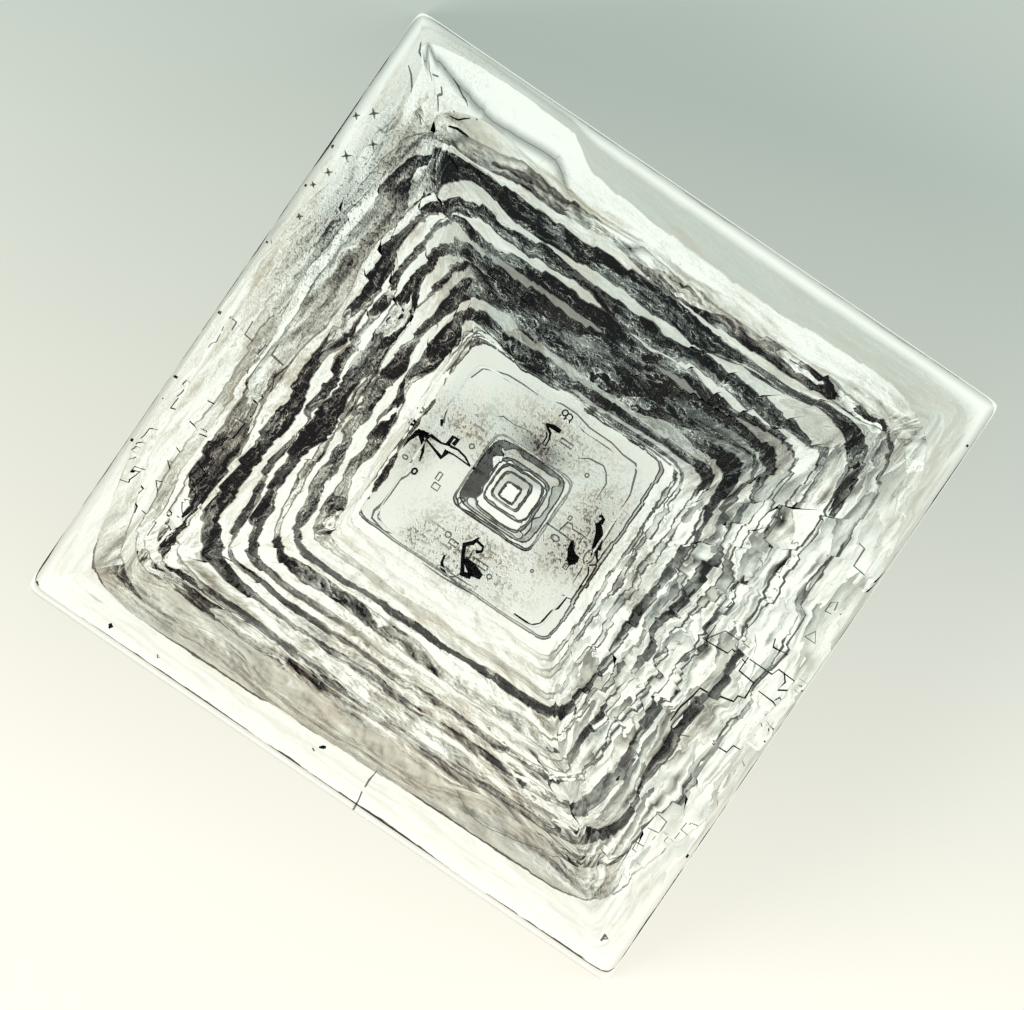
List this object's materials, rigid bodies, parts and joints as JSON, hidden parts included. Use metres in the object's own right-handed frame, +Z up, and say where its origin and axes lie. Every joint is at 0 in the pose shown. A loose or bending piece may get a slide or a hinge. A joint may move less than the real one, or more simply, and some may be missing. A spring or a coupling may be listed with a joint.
{
  "type": "salt crystal",
  "caption": "Clear square hopper crystal of halite with a deep stepped pit in its upper face, lying on its flat underside.",
  "frame": {"origin": "middle of the flat underside", "axes": "+Z up out of the pit; X and Y along the crystal's square edges, with the most broken side of the pit towards +Y and the smooth one towards -Y"},
  "size_m": [0.0032, 0.0032, 0.0014],
  "materials": {
    "halite": "clear, with dark rough ledge walls"
  },
  "bodies": {
    "root": {"salt_crystal": "halite"}
  },
  "joints": []
}
